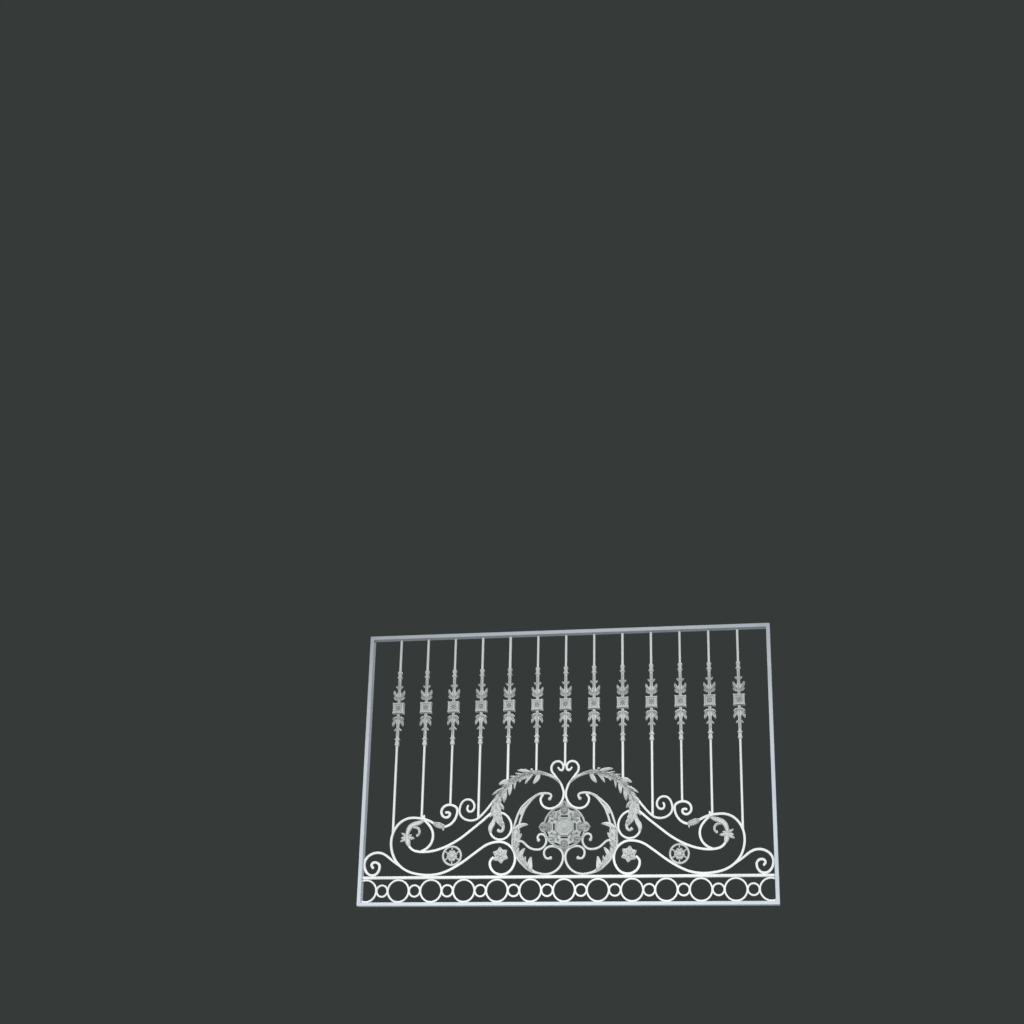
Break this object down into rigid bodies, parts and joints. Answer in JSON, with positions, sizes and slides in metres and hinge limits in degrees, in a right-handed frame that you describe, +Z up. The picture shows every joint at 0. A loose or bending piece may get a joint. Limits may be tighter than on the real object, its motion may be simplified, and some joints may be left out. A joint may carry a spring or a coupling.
{
  "type": "ornamental window grille",
  "caption": "Flat metal window grille with a tube frame, upright bars with castings, mirrored scrollwork, a pierced rosette and a band of rings along the foot.",
  "frame": {"origin": "middle of the foot of the sill rail", "axes": "+X along the width, -Y is the front that faces the street, +Z up"},
  "size_m": [1.894, 0.04, 1.267],
  "materials": {
    "white_paint": "satin",
    "cast_white_paint": "satin"
  },
  "bodies": {
    "root": {"bar_01": "white_paint", "bar_02": "white_paint", "bar_03": "white_paint", "bar_04": "white_paint", "bar_05": "white_paint", "bar_06": "white_paint", "bar_07": "white_paint", "bar_08": "white_paint", "bar_09": "white_paint", "bar_10": "white_paint", "bar_11": "white_paint", "bar_12": "white_paint", "bar_13": "white_paint", "bar_castings": "cast_white_paint", "head_rail": "white_paint", "left_bract": "cast_white_paint", "left_bud": "cast_white_paint", "left_corner_scroll": "white_paint", "left_crescent": "white_paint", "left_flower_ring": "cast_white_paint", "left_garland": "cast_white_paint", "left_heart_scroll": "white_paint", "left_hook_scroll": "white_paint", "left_inner_scroll": "white_paint", "left_main_scroll": "white_paint", "left_side_spiral": "white_paint", "left_star_flower": "cast_white_paint", "left_stile": "white_paint", "right_bract": "cast_white_paint", "right_bud": "cast_white_paint", "right_corner_scroll": "white_paint", "right_crescent": "white_paint", "right_flower_ring": "cast_white_paint", "right_garland": "cast_white_paint", "right_heart_scroll": "white_paint", "right_hook_scroll": "white_paint", "right_inner_scroll": "white_paint", "right_main_scroll": "white_paint", "right_side_spiral": "white_paint", "right_star_flower": "cast_white_paint", "right_stile": "white_paint", "ring_band": "white_paint", "ring_rail": "white_paint", "rosette": "cast_white_paint", "sill_rail": "white_paint"}
  },
  "joints": []
}
